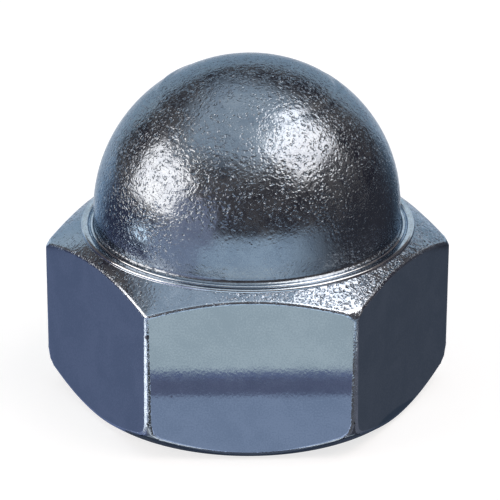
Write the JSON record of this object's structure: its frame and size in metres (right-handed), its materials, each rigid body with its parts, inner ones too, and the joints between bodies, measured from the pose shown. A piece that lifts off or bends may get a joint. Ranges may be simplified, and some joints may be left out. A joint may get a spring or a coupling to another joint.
{
  "type": "cap nut",
  "caption": "Hexagon cap nut with a domed closed end and a blind tapped hole that covers the end of a bolt or stud.",
  "frame": {"origin": "centre of the bearing face, where the nut stands", "axes": "+Z along the thread axis towards the top of the dome, with two flats facing along Y"},
  "size_m": [0.0196, 0.017, 0.0168],
  "materials": {
    "zinc_plated_steel": "bright zinc plate, tumbled, satin"
  },
  "bodies": {
    "root": {"cap_nut": "zinc_plated_steel"}
  },
  "joints": []
}
